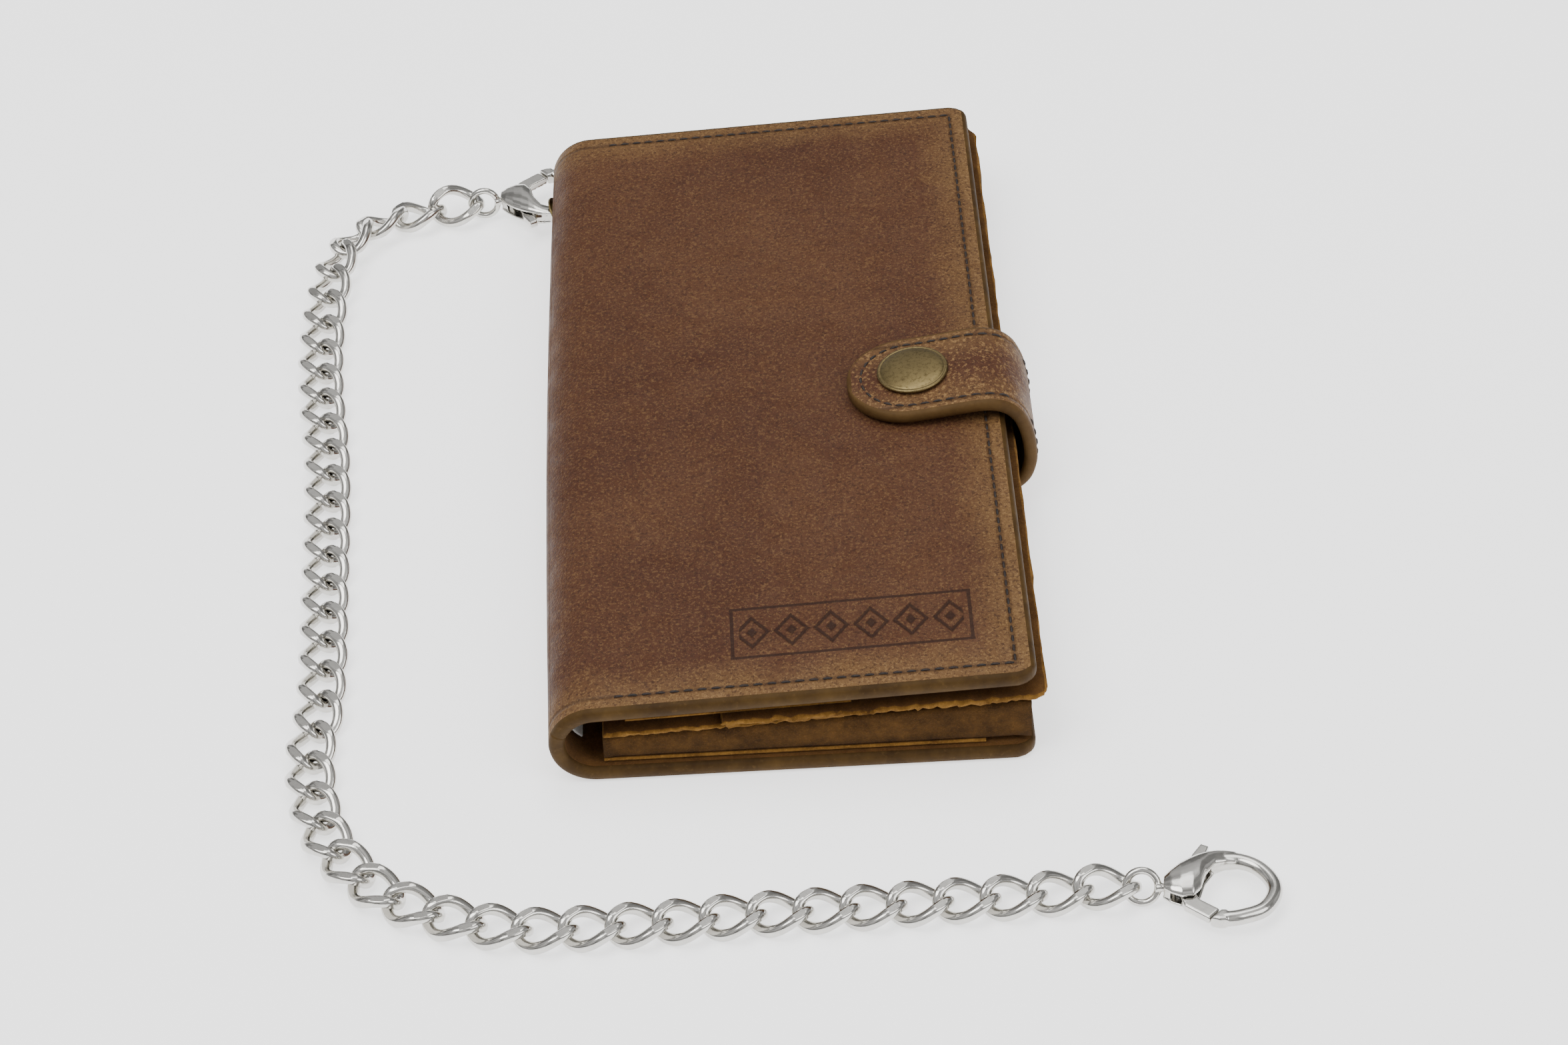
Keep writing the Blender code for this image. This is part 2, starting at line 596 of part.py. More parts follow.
clear_scene()
parts = new_collection("chain_wallet")
cutters = new_collection("chain_wallet_cutters")
looks = {name: make_look(name) for name in LOOKS}
make_back()
cover_hinge = make_spine()
make_cover(cover_hinge)
make_pouch()
make_strap()
make_eyelet()
wallet_clasp = Matrix.Translation(Vector(WALLET_CLASP_EYE) * MM) @ Matrix.Rotation(
    -math.radians(WALLET_CLASP_PITCH), 4, "Y"
)
make_clasp("wallet_end", wallet_clasp, -1)
free_clasp = Matrix.Translation(Vector(FREE_CLASP_EYE) * MM) @ Matrix.Rotation(
    math.radians(FREE_CLASP_TURN), 4, "Z"
)
make_clasp("free_end", free_clasp, 1)
make_chain()
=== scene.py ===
"""Looks of the chain wallet: leather shell, suede pouch, strap, snap, curb chain and lobster clasps.

Every length is in millimetres, and MM turns it into metres where a mesh is made.
+X is the snap side, +Y the far end, +Z up, and the floor is z = 0.
"""

import json
import math

import bmesh
import bpy
from mathutils import Matrix, Vector, noise

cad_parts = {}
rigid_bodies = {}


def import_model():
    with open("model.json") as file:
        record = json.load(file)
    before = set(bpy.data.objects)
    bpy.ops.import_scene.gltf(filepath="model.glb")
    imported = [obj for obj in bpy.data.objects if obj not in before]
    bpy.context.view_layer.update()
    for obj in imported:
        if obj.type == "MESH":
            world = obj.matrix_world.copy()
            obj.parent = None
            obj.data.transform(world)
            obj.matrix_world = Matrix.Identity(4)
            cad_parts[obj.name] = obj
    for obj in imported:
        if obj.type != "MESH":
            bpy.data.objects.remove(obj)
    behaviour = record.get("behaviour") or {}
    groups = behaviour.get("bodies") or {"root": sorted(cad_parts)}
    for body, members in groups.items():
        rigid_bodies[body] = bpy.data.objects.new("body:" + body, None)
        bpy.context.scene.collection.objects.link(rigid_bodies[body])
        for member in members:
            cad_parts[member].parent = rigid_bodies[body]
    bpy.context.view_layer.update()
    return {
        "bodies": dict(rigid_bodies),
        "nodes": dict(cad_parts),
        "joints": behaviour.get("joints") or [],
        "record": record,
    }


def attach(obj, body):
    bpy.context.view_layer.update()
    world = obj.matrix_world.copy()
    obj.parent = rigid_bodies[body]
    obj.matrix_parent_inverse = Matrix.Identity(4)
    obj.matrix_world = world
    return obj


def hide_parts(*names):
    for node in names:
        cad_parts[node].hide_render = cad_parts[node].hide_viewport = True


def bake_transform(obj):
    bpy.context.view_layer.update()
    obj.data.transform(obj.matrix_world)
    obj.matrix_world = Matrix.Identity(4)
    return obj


MM = 0.001

# Camera, at the photograph's viewing angle
CAMERA_PLACE = (-4.42, -649.85, 540.44)
CAMERA_RIGHT = (0.99864, -0.03841, -0.03512)
CAMERA_UP = (0.05167, 0.65073, 0.75755)
CAMERA_LENS = 90.76

# Leather shell, as in the frame
HALF_LENGTH = 96.0
SNAP_EDGE = 47.5
LEATHER = 3.2
SPINE_X = -38.2
SPINE_RADIUS = 9.3
COVER_SLOPE = math.radians(2.69)
COVER_LENGTH = 86.2
CORNER = 4.5
SPINE_HINGES = (170.0, 144.3, 118.5, 92.69)
BASE_RUN = SNAP_EDGE - SPINE_X
ARC_RUN = SPINE_RADIUS * math.radians(270.0 - SPINE_HINGES[-1])
SPINE_BOW = 1.0  # how far the middle of the spine stands out

STRAP_LINE = (
    (47.8, 4.1), (49.8, 4.6), (51.7, 6.6), (52.7, 9.5), (52.9, 12.5), (52.4, 16.5), (51.4, 20.2),
    (49.6, 23.5), (46.6, 25.6), (42.5, 26.0), (37.5, 25.3), (29.4, 24.1), (20.0, 23.3), (14.2, 22.9),
)
STRAP_THICKNESS = 2.8
STRAP_Y = -5.5
STRAP_HALF = 13.0
STRAP_TIP = 15.3
STRAP_HINGES = (1.0, 21.5)
STRAP_SPLIT = 11.0
SNAP_X = 29.4
SNAP_Y = -5.0

WALLET_CLASP_EYE = (-63.9, 92.3, 4.3)
WALLET_CLASP_PITCH = 5.0
FREE_CLASP_EYE = (63.64, -134.98, 3.4)
FREE_CLASP_TURN = -6.74
EYE_ROLLS = {"wallet_end": 78.0, "free_end": 50.0}

LINKS = 44
LINK_HALF_LENGTH = 5.5
LINK_HALF_WIDTH = 4.0
LINK_WIRE = 1.08
LINK_TWIST = math.radians(45.0)
LINK_FLAT = 2.2  # half height of a link, where its faces are ground flat
LINK_ROLLS = {1: -30.0, 2: 12.0, 3: 26.0, 4: 30.0, 5: 26.0, 6: 16.0, 7: 8.0}
REST_GAP = 0.12
LINK_TO_EYE = 6.5
CHAIN_ROUTE = (
    (-57.0, 92.6), (-64.0, 92.3), (-71.0, 91.8), (-77.5, 91.0), (-84.5, 88.9), (-90.5, 85.0),
    (-94.8, 79.5), (-97.3, 72.0), (-98.6, 62.0), (-99.2, 50.0), (-99.0, 36.0), (-98.0, 22.0),
    (-96.4, 8.0), (-95.4, -8.0), (-94.8, -25.0), (-94.3, -42.0), (-93.8, -58.0), (-93.8, -74.0),
    (-94.9, -86.0), (-94.0, -98.0), (-91.9, -106.5), (-89.0, -113.6), (-84.4, -120.3),
    (-79.0, -126.0), (-72.0, -130.5), (-64.0, -134.1), (-55.4, -136.4), (-47.5, -137.4),
    (-29.0, -137.2), (-10.5, -136.3), (7.3, -135.9), (25.4, -135.4), (42.6, -135.0),
    (52.5, -134.4), (63.0, -135.0), (70.0, -135.8),
)


# ---------------------------------------------------------------- lines and places


def smooth_line(places, steps):
    """Points on one smooth curve through all the places."""
    ends = [2 * Vector(places[0]) - Vector(places[1]), 2 * Vector(places[-1]) - Vector(places[-2])]
    knots = [ends[0], *[Vector(place) for place in places], ends[1]]
    line = []
    for a, b, c, d in zip(knots, knots[1:], knots[2:], knots[3:]):
        for step in range(steps):
            t = step / steps
            line.append(
                0.5 * (2 * b + (c - a) * t + (2 * a - 5 * b + 4 * c - d) * t**2
                       + (3 * b - a - 3 * c + d) * t**3)
            )
    line.append(knots[-2])
    return line


def along(line, distance):
    """Point and direction at a distance along a line of points."""
    if distance <= 0.0:
        way = (line[1] - line[0]).normalized()
        return line[0] + way * distance, way
    for start, end in zip(line, line[1:]):
        length = (end - start).length
        if distance <= length:
            return start.lerp(end, distance / length), (end - start).normalized()
        distance -= length
    way = (line[-1] - line[-2]).normalized()
    return line[-1] + way * distance, way


def line_length(line):
    return sum((b - a).length for a, b in zip(line, line[1:]))


def spine_point(angle, depth=0.0):
    turn = math.radians(angle)
    radius = SPINE_RADIUS - depth
    return SPINE_X + radius * math.cos(turn), SPINE_RADIUS + radius * math.sin(turn)


def shell_place(run, y, depth):
    """Point of the leather shell: run is 0 at the spine's foot, below it the back, above it the cover."""
    if run < 0.0:
        return Vector((SPINE_X - run, y, depth))
    if run <= ARC_RUN:
        angle = 270.0 - math.degrees(run / SPINE_RADIUS)
        x, z = spine_point(angle, depth)
        bow = SPINE_BOW * math.cos(math.pi / 2 * y / HALF_LENGTH) * math.sin(math.pi * run / ARC_RUN) ** 2
        return Vector((x - bow, y, z))
    return cover_place(run - ARC_RUN, y, depth)


def cover_place(run, y, depth):
    """Point under the front cover's outer face."""
    x, z = spine_point(SPINE_HINGES[-1])
    slope = COVER_SLOPE
    return Vector((x + run * math.cos(slope) + depth * math.sin(slope), y,
                   z + run * math.sin(slope) - depth * math.cos(slope)))


STRAP_CURVE = smooth_line(STRAP_LINE, 8)
STRAP_LENGTH = line_length(STRAP_CURVE)


def strap_place(run, y, depth):
    """Point of the strap: depth 0 is its outer face. Before the line's start it is the sewn tongue."""
    place, way = along(STRAP_CURVE, run)
    out = Vector((way.y, -way.x))
    spot = place + out * (STRAP_THICKNESS / 2 - depth)
    return Vector((spot.x, STRAP_Y + y, spot.y))


# ---------------------------------------------------------------- meshes


def new_piece(name, bm, looks, smooth=True):
    bmesh.ops.recalc_face_normals(bm, faces=bm.faces)
    bm.transform(Matrix.Scale(MM, 4))
    if smooth:
        for face in bm.faces:
            face.smooth = True
    mesh = bpy.data.meshes.new(name)
    bm.to_mesh(mesh)
    bm.free()
    for look in looks:
        mesh.materials.append(look)
    thing = bpy.data.objects.new(name, mesh)
    bpy.context.scene.collection.objects.link(thing)
    return thing


def inset(distance, radius):
    """How far a rounded border has come in at a distance from its end."""
    if distance >= radius:
        return 0.0
    return radius - math.sqrt(max(radius**2 - (radius - distance) ** 2, 0.0))


def sheet_ring(half, thickness, rounding, divisions):
    """Section of a sheet across its width, as (y, depth, on the border), rounded at both borders."""
    radius = min(rounding, thickness / 2 - 0.01)
    ring = []
    for side in (1, -1):
        for step in range(7):
            turn = math.pi * step / 6
            y = side * (half - radius + radius * math.sin(turn))
            depth = thickness / 2 - side * (thickness / 2 - radius + 0.0) * math.copysign(1, math.cos(turn))
            depth -= side * radius * math.cos(turn)
            if step == 3:
                depth = thickness / 2
            ring.append((y, depth, True))
        for step in range(1, divisions):
            y = side * (half - radius) * (1 - 2 * step / divisions)
            ring.append((y, thickness if side == 1 else 0.0, False))
    return ring


def sheet_piece(name, place, runs, half_at, thickness, looks, free_start=False, free_end=False,
                rounding=1.3, divisions=16, fray=0.0, seed=0.0, inner_face=False):
    """Leather swept along its runs: looks are face and border. Free ends are rounded off."""
    bm = bmesh.new()
    rows = []
    start, end = runs[0], runs[-1]
    radius = min(rounding, thickness / 2 - 0.01)
    for run in runs:
        pinch = 0.0
        if free_start:
            pinch = max(pinch, inset(run - start, radius))
        if free_end:
            pinch = max(pinch, inset(end - run, radius))
        row = []
        for y, depth, _ in sheet_ring(half_at(run), thickness, rounding, divisions):
            depth = min(max(depth, pinch), thickness - pinch)
            spot = place(run, y, depth)
            if fray:
                spread = noise.noise_vector(Vector((run * 0.9 + seed, y * 0.9, depth * 0.5)))
                edge = max(0.0, 1 - (half_at(run) - abs(y)) / 2.0)
                edge = max(edge, 1 - (end - run) / 2.0 if free_end else 0.0)
                edge = max(edge, 1 - (run - start) / 2.0 if free_start else 0.0)
                spot += spread * fray * edge
            row.append(bm.verts.new(spot))
        rows.append(row)
    flags = [flag for _, _, flag in sheet_ring(half_at(runs[0]), thickness, rounding, divisions)]
    count = len(flags)
    for number, (low, high) in enumerate(zip(rows, rows[1:])):
        middle = (runs[number] + runs[number + 1]) / 2
        border_run = (free_start and middle - start < radius) or (free_end and end - middle < radius)
        for k in range(count):
            face = bm.faces.new((low[k], low[(k + 1) % count], high[(k + 1) % count], high[k]))
            if border_run or (flags[k] and flags[(k + 1) % count]):
                face.material_index = 1
            elif inner_face and 6 <= k < 6 + divisions:
                face.material_index = 2
    for row in (rows[0][::-1], rows[-1]):
        cap = bm.faces.new(row)
        cap.material_index = 1
        for edge in cap.edges:
            edge.smooth = False
    return new_piece(name, bm, looks)


def runs_between(start, end, step, free_start=False, free_end=False, radius=1.3, corner=0.0):
    """Stations along a sheet, close together where an end or a corner is rounded."""
    stops = {start, end}
    count = max(1, round((end - start) / step))
    stops.update(start + (end - start) * k / count for k in range(count + 1))
    for fraction in (0.02, 0.1, 0.25, 0.5, 0.8):
        if free_start:
            stops.update((start + radius * fraction, start + corner * fraction))
        if free_end:
            stops.update((end - radius * fraction, end - corner * fraction))
    return sorted(stops)


def tube(bm, places, radius, sides=8, closed=False, radii=None, taper_ends=False):
    """Round wire added to a bmesh, through places."""
    rings = []
    count = len(places)
    up = None
    for index, place in enumerate(places):
        if closed:
            way = (places[(index + 1) % count] - places[index - 1]).normalized()
        else:
            way = (places[min(index + 1, count - 1)] - places[max(index - 1, 0)]).normalized()
        if up is None:
            up = way.orthogonal().normalized()
        up = (up - way * up.dot(way)).normalized()
        side = way.cross(up)
        size = radius * (radii[index] if radii else 1.0)
        if taper_ends and index in (0, count - 1):
            size *= 0.35
        rings.append([
            bm.verts.new(place + (up * math.cos(a) + side * math.sin(a)) * size)
            for a in (2 * math.pi * k / sides for k in range(sides))
        ])
    pairs = list(zip(rings, rings[1:]))
    if closed:
        # The frame turns round a closed wire, so the last ring meets the first at its nearest corner.
        last, first = rings[-1], rings[0]
        shift = min(range(sides), key=lambda s: (last[0].co - first[s].co).length)
        pairs.append((last, first[shift:] + first[:shift]))
    for low, high in pairs:
        for k in range(sides):
            bm.faces.new((low[k], low[(k + 1) % sides], high[(k + 1) % sides], high[k]))
    if not closed:
        bm.faces.new(rings[0][::-1])
        bm.faces.new(rings[-1])


def stitches(name, place, path, pitch, look, lift=0.08, length=0.72):
    """Row of thread stitches on a sheet's outer face; path is a list of (run, y) corners."""
    bm = bmesh.new()
    line = [Vector(corner) for corner in path]
    total = line_length(line)
    count = round(total / pitch)
    for number in range(count):
        middle = (number + 0.5) * total / count
        half = pitch * length / 2
        spots = []
        for step in (-1.0, -0.8, -0.35, 0.35, 0.8, 1.0):
            spot, _ = along(line, middle + half * step)
            depth = -lift + 0.45 * abs(step) ** 3
            spots.append(place(spot.x, spot.y, depth))
        tube(bm, spots, 0.27, sides=6, taper_ends=True)
    return new_piece(name, bm, [look])


def turned_piece(name, profile, frame, look, steps=48):
    """Round piece: a profile of (radius, height), from axis to axis, about Z of a frame."""
    bm = bmesh.new()
    rings = []
    for radius, height in profile:
        if radius == 0.0:
            rings.append([bm.verts.new((0.0, 0.0, height))])
        else:
            rings.append([
                bm.verts.new((radius * math.cos(a), radius * math.sin(a), height))
                for a in (2 * math.pi * k / steps for k in range(steps))
            ])
    for low, high in zip(rings, rings[1:]):
        for k in range(steps):
            corners = [low[k % len(low)], low[(k + 1) % len(low)], high[(k + 1) % len(high)],
                       high[k % len(high)]]
            bm.faces.new(list(dict.fromkeys(corners)))
    bm.transform(frame)
    return new_piece(name, bm, [look])


# ---------------------------------------------------------------- materials


class Nodes:
    """Short way to build one material's node tree."""

    def __init__(self, name):
        self.look = bpy.data.materials.new(name)
        self.look.use_nodes = True
        self.tree = self.look.node_tree
        self.shader = self.tree.nodes["Principled BSDF"]
        self.place = self.tree.nodes.new("ShaderNodeTexCoord").outputs["Object"]

    def put(self, kind, inputs, **settings):
        node = self.tree.nodes.new(kind)
        for key, value in settings.items():
            setattr(node, key, value)
        for key, value in inputs.items():
            self.set(node.inputs[key], value)
        return node

    def set(self, socket, value):
        if isinstance(value, bpy.types.NodeSocket):
            self.tree.links.new(value, socket)
        else:
            socket.default_value = value

    def noise(self, scale, detail=4.0, rough=0.5, warp=0.0, where=None):
        inputs = {"Vector": where or self.place, "Scale": scale, "Detail": detail, "Roughness": rough,
                  "Distortion": warp}
        return self.put("ShaderNodeTexNoise", inputs).outputs["Fac"]

    def cells(self, scale, feature="F1", where=None):
        inputs = {"Vector": where or self.place, "Scale": scale}
        return self.put("ShaderNodeTexVoronoi", inputs, feature=feature).outputs["Distance"]

    def stretch(self, scale, turn=(0.0, 0.0, 0.0)):
        inputs = {"Vector": self.place, "Scale": scale, "Rotation": turn}
        return self.put("ShaderNodeMapping", inputs).outputs["Vector"]

    def math(self, operation, a, b=0.0, clamp=False):
        node = self.put("ShaderNodeMath", {0: a, 1: b}, operation=operation, use_clamp=clamp)
        return node.outputs[0]

    def ramp(self, value, low, high):
        """0 below low, 1 above high."""
        inputs = {"Value": value, "From Min": low, "From Max": high}
        return self.put("ShaderNodeMapRange", inputs).outputs["Result"]

    def mix(self, amount, a, b, blend="MIX"):
        node = self.tree.nodes.new("ShaderNodeMix")
        node.data_type = "RGBA"
        node.blend_type = blend
        self.set(node.inputs["Factor"], amount)
        self.set(node.inputs[6], (*a, 1.0) if isinstance(a, tuple) else a)
        self.set(node.inputs[7], (*b, 1.0) if isinstance(b, tuple) else b)
        return node.outputs[2]

    def level(self, amount, a, b):
        inputs = {"Value": amount, "To Min": a, "To Max": b}
        return self.put("ShaderNodeMapRange", inputs).outputs["Result"]

    def bump(self, height, strength, distance, before=None):
        inputs = {"Height": height, "Strength": strength, "Distance": distance}
        if before:
            inputs["Normal"] = before
        return self.put("ShaderNodeBump", inputs).outputs["Normal"]

    def finish(self, colour, roughness, normal=None, **values):
        self.set(self.shader.inputs["Base Color"], colour if not isinstance(colour, tuple) else (*colour, 1.0))
        self.set(self.shader.inputs["Roughness"], roughness)
        if normal:
            self.set(self.shader.inputs["Normal"], normal)
        for key, value in values.items():
            self.set(self.shader.inputs[key.replace("_", " ").title().replace("Ior", "IOR")], value)
        return self.look


def edge_distance(n, x_edge=SNAP_EDGE, half=HALF_LENGTH, middle=0.0):
    """Metres in from the nearest border of the shell."""
    parts = n.put("ShaderNodeSeparateXYZ", {"Vector": n.place})
    across = n.math("ABSOLUTE", n.math("SUBTRACT", parts.outputs["Y"], middle * MM))
    end = n.math("SUBTRACT", half * MM, across)
    side = n.math("SUBTRACT", x_edge * MM, parts.outputs["X"])
    return n.math("MINIMUM", end, side), parts


def ornament(n, parts):
    """Debossed row of lozenges in a frame, on the near right of the front cover."""
    x = n.math("SUBTRACT", parts.outputs["X"], 12.5 * MM)
    y = n.math("SUBTRACT", parts.outputs["Y"], -77.0 * MM)
    across = n.math("ABSOLUTE", n.math("DIVIDE", y, 5.2 * MM))
    wave = n.math("PINGPONG", n.math("ADD", x, 97.5 * MM), 3.9 * MM)
    wave = n.math("DIVIDE", wave, 3.9 * MM)
    lozenge = n.math("ADD", wave, across)
    line = n.math("SUBTRACT", 1.0, n.ramp(n.math("ABSOLUTE", n.math("SUBTRACT", lozenge, 0.8)), 0.06, 0.16))
    seed = n.math("SUBTRACT", 1.0, n.ramp(lozenge, 0.22, 0.34))
    inner = n.math("MAXIMUM", line, seed)
    frame_x = n.math("DIVIDE", n.math("ABSOLUTE", x), 23.4 * MM)
    frame_y = n.math("ABSOLUTE", n.math("DIVIDE", y, 7.0 * MM))
    inside = n.math("MULTIPLY", n.math("LESS_THAN", frame_x, 0.94), n.math("LESS_THAN", frame_y, 0.86))
    inner = n.math("MULTIPLY", inner, inside)
    border_x = n.math("ABSOLUTE", n.math("SUBTRACT", n.math("ABSOLUTE", x), 23.4 * MM))
    border_y = n.math("ABSOLUTE", n.math("SUBTRACT", n.math("ABSOLUTE", y), 7.0 * MM))
    near_x = n.math("MULTIPLY", n.math("LESS_THAN", border_x, 0.35 * MM), n.math("LESS_THAN", frame_y, 1.05))
    near_y = n.math("MULTIPLY", n.math("LESS_THAN", border_y, 0.35 * MM), n.math("LESS_THAN", frame_x, 1.02))
    border = n.math("MAXIMUM", near_x, near_y)
    return n.math("MAXIMUM", inner, border)


def waxed_leather(name, x_edge=SNAP_EDGE, half=HALF_LENGTH, middle=0.0, marked=False, cracked=0.0,
                  speck_scale=1700.0):
    """Waxed pull-up leather: mottled brown with ochre speckle, paler and worn towards its borders."""
    n = Nodes(name)
    border, parts = edge_distance(n, x_edge, half, middle)
    clouds = n.noise(30.0, 5.0, 0.62, 0.4)
    grain = n.noise(1300.0, 3.0, 0.6)
    speck = n.noise(speck_scale, 4.0, 0.75)
    pores = n.cells(1900.0)
    colour = n.mix(n.ramp(clouds, 0.3, 0.7), (0.060, 0.0215, 0.0110), (0.094, 0.040, 0.0185))
    worn = n.math("ADD", n.math("MULTIPLY", n.noise(75.0, 5.0, 0.7), 14.0 * MM), border)
    worn = n.math("SUBTRACT", 1.0, n.ramp(worn, 5.0 * MM, 19.0 * MM))
    worn = n.math("MULTIPLY", worn, 0.8)
    colour = n.mix(worn, colour, (0.19, 0.108, 0.040))
    rubbed = n.math("ADD", n.math("MULTIPLY", worn, 0.62), 0.34 + cracked, clamp=True)
    colour = n.mix(n.math("MULTIPLY", n.ramp(speck, 0.52, 0.60), rubbed), colour, (0.26, 0.150, 0.060))
    colour = n.mix(n.math("MULTIPLY", n.ramp(n.noise(1450.0, 4.0, 0.75, 0.3), 0.52, 0.60), 0.62), colour,
                   (0.030, 0.011, 0.007))
    lines = n.noise(1.0, 4.0, 0.7, 0.0, n.stretch((900.0, 26.0, 60.0), (0.0, 0.0, 0.5)))
    scuffs = n.math("MULTIPLY", n.ramp(lines, 0.68, 0.78), n.ramp(n.noise(26.0, 3.0), 0.56, 0.66))
    colour = n.mix(n.math("MULTIPLY", scuffs, 0.4), colour, (0.27, 0.14, 0.05))
    height = n.math("ADD", n.math("MULTIPLY", grain, 0.5), n.math("MULTIPLY", pores, 0.6))
    height = n.math("ADD", height, n.math("MULTIPLY", clouds, 0.5))
    crease = n.math("ABSOLUTE", n.math("SUBTRACT", border, 4.0 * MM))
    crease = n.math("SUBTRACT", 1.0, n.ramp(crease, 0.15 * MM, 0.75 * MM))
    colour = n.mix(n.math("MULTIPLY", crease, 0.5), colour, (0.028, 0.012, 0.006))
    height = n.math("SUBTRACT", height, n.math("MULTIPLY", crease, 1.6))
    if marked:
        mark = ornament(n, parts)
        colour = n.mix(n.math("MULTIPLY", mark, 0.82), colour, (0.022, 0.009, 0.006))
        height = n.math("SUBTRACT", height, n.math("MULTIPLY", mark, 2.2))
    rough = n.level(n.ramp(n.noise(160.0, 4.0, 0.6), 0.35, 0.65), 0.5, 0.7)
    normal = n.bump(height, 0.55, 0.25 * MM)
    return n.finish(colour, rough, normal, specular_ior_level=0.16)


def painted_edge(name, dark, pale):
    """Smooth painted border of the leather, worn paler on its corners."""
    n = Nodes(name)
    colour = n.mix(n.ramp(n.noise(120.0, 5.0, 0.65), 0.35, 0.7), dark, pale)
    colour = n.mix(n.math("MULTIPLY", n.ramp(n.noise(700.0, 4.0, 0.7), 0.58, 0.7), 0.5), colour,
                   (0.10, 0.055, 0.017))
    height = n.noise(1.0, 3.0, 0.6, 0.0, n.stretch((260.0, 260.0, 900.0)))
    return n.finish(colour, n.level(n.noise(300.0), 0.5, 0.7), n.bump(height, 0.35, 0.2 * MM), specular_ior_level=0.12)


def suede(name, dark, pale, fibre=2600.0):
    n = Nodes(name)
    nap = n.noise(fibre, 5.0, 0.8)
    colour = n.mix(n.ramp(n.noise(180.0, 5.0, 0.7), 0.3, 0.7), dark, pale)
    colour = n.mix(n.math("MULTIPLY", n.ramp(nap, 0.5, 0.72), 0.5), colour, tuple(c * 1.7 for c in pale))
    height = n.math("ADD", nap, n.noise(700.0, 4.0, 0.7))
    return n.finish(colour, n.level(nap, 0.82, 1.0), n.bump(height, 0.9, 0.35 * MM),
                    specular_ior_level=0.05, sheen_weight=0.03, sheen_roughness=0.6)


def metal(name, colour, dark, rough, speck=0.0):
    """Plated metal: fine polishing marks, and dark flecks where it is antiqued."""
    n = Nodes(name)
    marks = n.noise(1.0, 3.0, 0.6, 0.0, n.stretch((2600.0, 260.0, 260.0), (0.3, 0.2, 0.9)))
    tint = n.mix(n.ramp(n.noise(260.0, 5.0, 0.7), 0.4, 0.72), colour, tuple(c * 0.86 for c in colour))
    flecks = n.math("MULTIPLY", n.ramp(n.noise(1500.0, 5.0, 0.8), 0.5, 0.68), speck)
    tint = n.mix(flecks, tint, dark)
    height = n.math("ADD", n.math("MULTIPLY", marks, 0.5), n.noise(900.0, 3.0))
    roughness = n.level(n.noise(500.0, 4.0, 0.7), rough * 0.8, rough * 1.35)
    return n.finish(tint, roughness, n.bump(height, 0.10, 0.05 * MM), metallic=1.0)


def thread(name):
    n = Nodes(name)
    ply = n.noise(1.0, 2.0, 0.5, 0.0, n.stretch((2200.0, 2200.0, 700.0), (0.0, 0.0, 0.8)))
    colour = n.mix(n.ramp(ply, 0.35, 0.65), (0.006, 0.003, 0.002), (0.024, 0.011, 0.006))
    return n.finish(colour, n.level(ply, 0.5, 0.75), n.bump(ply, 0.7, 0.15 * MM))


def white_card(name):
    n = Nodes(name)
    colour = n.mix(n.noise(300.0, 4.0), (0.62, 0.62, 0.60), (0.80, 0.80, 0.78))
    return n.finish(colour, n.level(n.noise(600.0), 0.5, 0.7), n.bump(n.noise(1200.0), 0.2, 0.1 * MM))


def floor_look():
    n = Nodes("floor_white")
    colour = n.mix(n.noise(6.0, 3.0), (0.94, 0.94, 0.94), (0.96, 0.96, 0.96))
    return n.finish(colour, 0.7, emission_color=(1.0, 1.0, 1.0, 1.0), emission_strength=1.2)


# ---------------------------------------------------------------- pieces


def shell_half(run):
    """Half length of the shell at a run, with the rounded corners at both free edges."""
    from_back = run + BASE_RUN
    to_front = ARC_RUN + COVER_LENGTH - run
    return HALF_LENGTH - max(inset(from_back, CORNER), inset(to_front, CORNER))


def shell_point(angle):
    x, z = spine_point(angle)
    return (x * MM, 0.0, z * MM)


def make_shell(face, marked_face, border, inside):
    """Back, spine and front of one leather, in pieces that meet between the spine's hinges."""
    nodes = (("back_cover", "spine_base"), ("spine_fold_1",), ("spine_fold_2",),
             ("spine_fold_3", "front_cover"))
    names = ("leather_back_and_spine_foot", "leather_spine_lower", "leather_spine_upper",
             "leather_front_cover")
    splits = [(a + b) / 2 for a, b in zip(SPINE_HINGES, SPINE_HINGES[1:])]
    stops = [-BASE_RUN, *[SPINE_RADIUS * math.radians(270.0 - a) for a in splits], ARC_RUN + COVER_LENGTH]
    for number, name in enumerate(names):
        first, last = number == 0, number == 3
        step = 4.0 if first or last else 0.6
        runs = set(runs_between(stops[number], stops[number + 1], step, first, last, 1.3, CORNER))
        arc_from, arc_to = max(stops[number], 0.0), min(stops[number + 1], ARC_RUN + 2.0)
        runs.update(runs_between(arc_from, arc_to, 0.6))
        sheet = sheet_piece(name, shell_place, sorted(runs), shell_half, LEATHER,
                            [marked_face if last else face, border, inside], first, last, inner_face=True)
        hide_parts(*nodes[number])
        start, end = shell_point(SPINE_HINGES[number] + 9.0), shell_point(SPINE_HINGES[number] - 9.0)
        if first:
            # Straight up from the start point.
            end = (start[0], start[1], end[2])
        if last:
            end = tuple(cover_place(1.5, 0, 0) * MM)
        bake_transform(sheet)
        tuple(start)
        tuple(end)


def roughen(thing, end, amount):
    """Torn fibres along the raw edges of a suede layer."""
    for vert in thing.data.vertices:
        spot = vert.co / MM
        inside = min(end - abs(spot.y), 3.0)
        share = max(0.0, 1.0 - inside / 3.0)
        shift = noise.noise_vector(spot * 0.45) + noise.noise_vector(spot * 1.7) * 0.7
        vert.co += shift * (amount * (0.15 + 0.85 * share) * MM)


